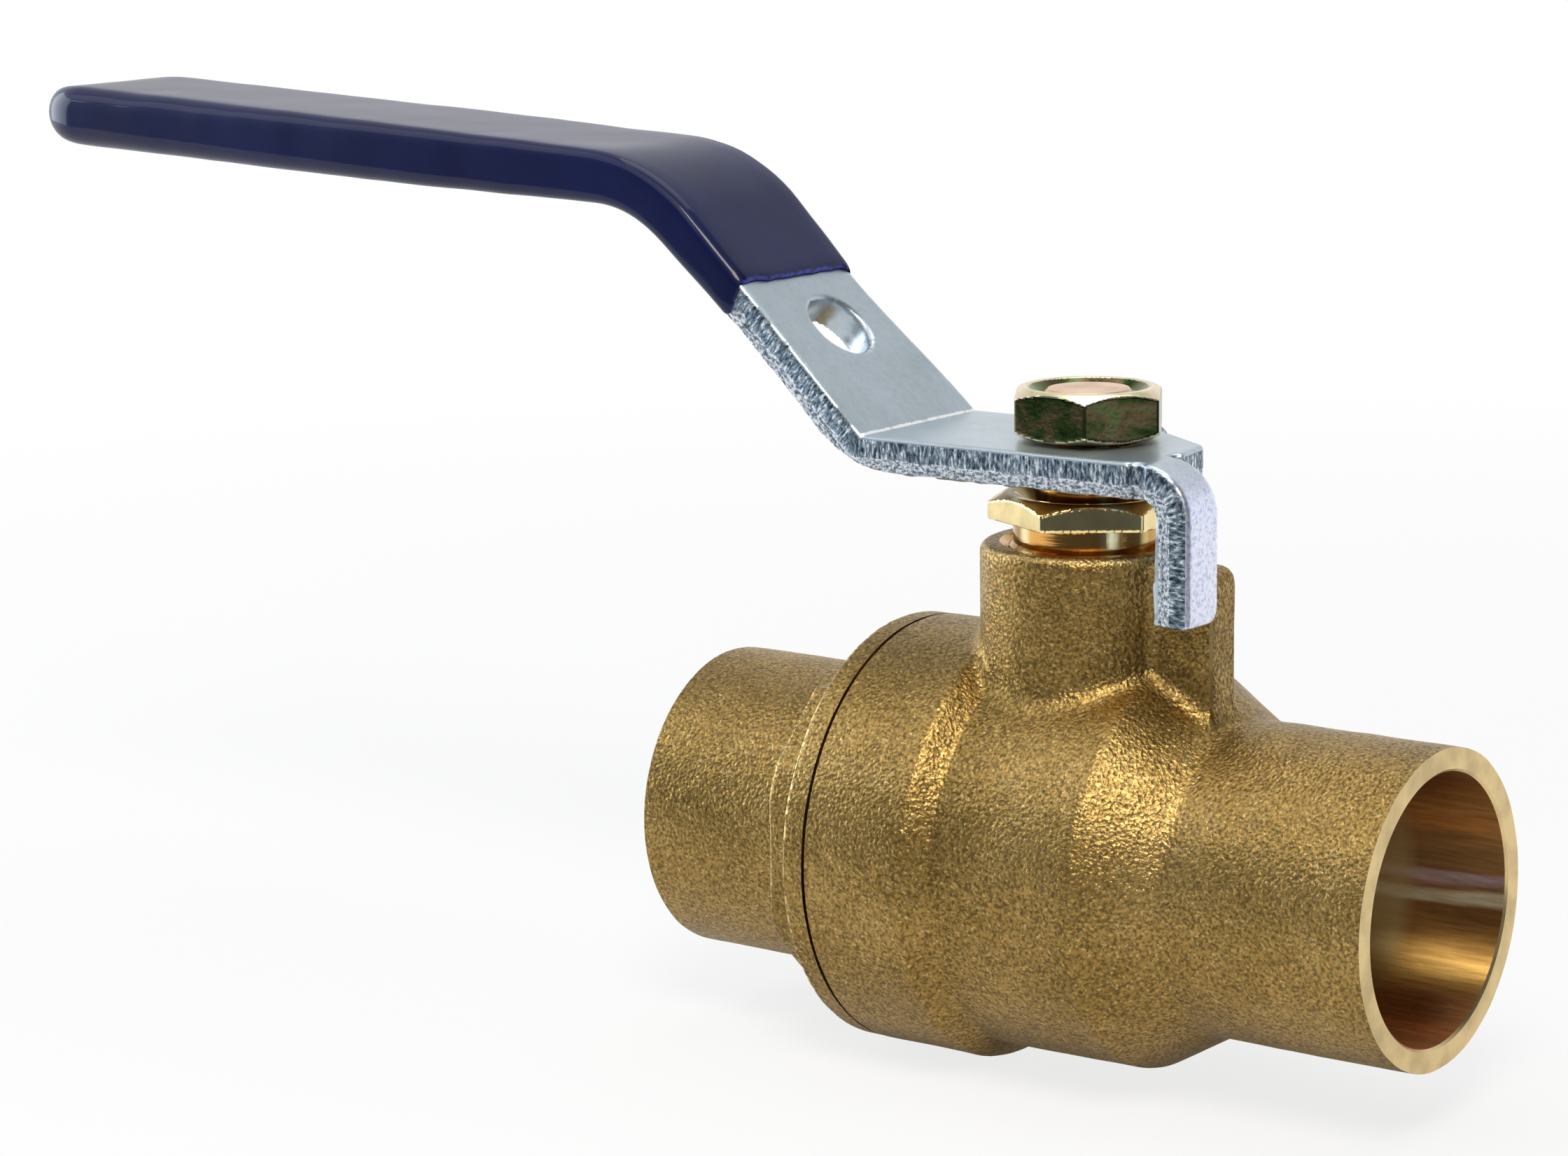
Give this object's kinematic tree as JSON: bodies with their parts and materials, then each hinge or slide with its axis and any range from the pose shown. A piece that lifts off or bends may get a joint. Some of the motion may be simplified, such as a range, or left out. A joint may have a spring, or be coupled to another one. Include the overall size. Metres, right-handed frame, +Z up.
{
  "type": "quarter-turn lever ball valve",
  "caption": "Two-piece quarter-turn ball valve with solder cups in line, a necked body, a bent flat lever with a dipped grip, and a full-port ball turned by the stem.",
  "frame": {"origin": "centre of the ball, where the stem's axis crosses the pipe's axis", "axes": "+X along the pipe, out of the cup on the body; +Z up along the stem, towards the lever nut; +Y across both, the side the lever swings to as the valve shuts"},
  "size_m": [0.1491, 0.0368, 0.0793],
  "materials": {
    "forged_brass": "shot-blasted",
    "machined_brass": "machined",
    "chromed_brass": "polished",
    "ptfe": "smooth",
    "zinc_plate": "bright zinc plate on steel",
    "yellow_zinc": "yellow passivated zinc on steel",
    "blue_vinyl": "dipped vinyl, semi-gloss"
  },
  "bodies": {
    "housing": {"body": "forged_brass", "end_piece": "forged_brass", "body_seat": "ptfe", "end_seat": "ptfe", "body_seal": "ptfe", "thrust_washer": "ptfe", "lower_packing": "ptfe", "upper_packing": "ptfe", "packing_gland": "machined_brass"},
    "lever_body": {"lever": "zinc_plate", "grip": "blue_vinyl", "lever_nut": "yellow_zinc", "stem": "machined_brass"},
    "ball_body": {"ball": "chromed_brass"}
  },
  "joints": [
    {"name": "lever_turn", "type": "hinge", "parent": "housing", "child": "lever_body", "pos_m": [0, 0, 0.02], "axis": [0, 0, 1], "range_deg": [-90, 0]},
    {"name": "ball_turn", "type": "hinge", "parent": "housing", "child": "ball_body", "pos_m": [0, 0, 0], "axis": [0, 0, 1], "range_deg": [-90, 0]}
  ],
  "couplings": [
    {"joint": "ball_turn", "follows": "lever_turn", "ratio": 1}
  ]
}
